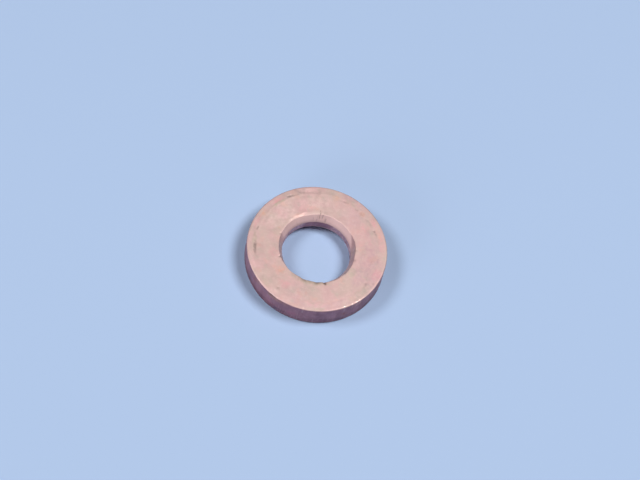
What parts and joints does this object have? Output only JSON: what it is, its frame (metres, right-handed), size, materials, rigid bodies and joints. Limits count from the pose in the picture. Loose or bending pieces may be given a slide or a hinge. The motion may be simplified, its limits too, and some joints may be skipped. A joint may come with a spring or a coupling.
{
  "type": "flat washer",
  "caption": "Thick plain copper ring washer with flat sealing faces, a countersunk bore and rounded, lightly rolled outer edges.",
  "frame": {"origin": "centre of the underside, on the axis of the bore", "axes": "+Z along the axis of the bore, from the underside to the upper face; X and Y lie in the underside and are free, because the ring is round"},
  "size_m": [0.015, 0.015, 0.0028],
  "materials": {
    "copper": "matte oxidised copper, pinkish"
  },
  "bodies": {
    "root": {"washer": "copper"}
  },
  "joints": []
}
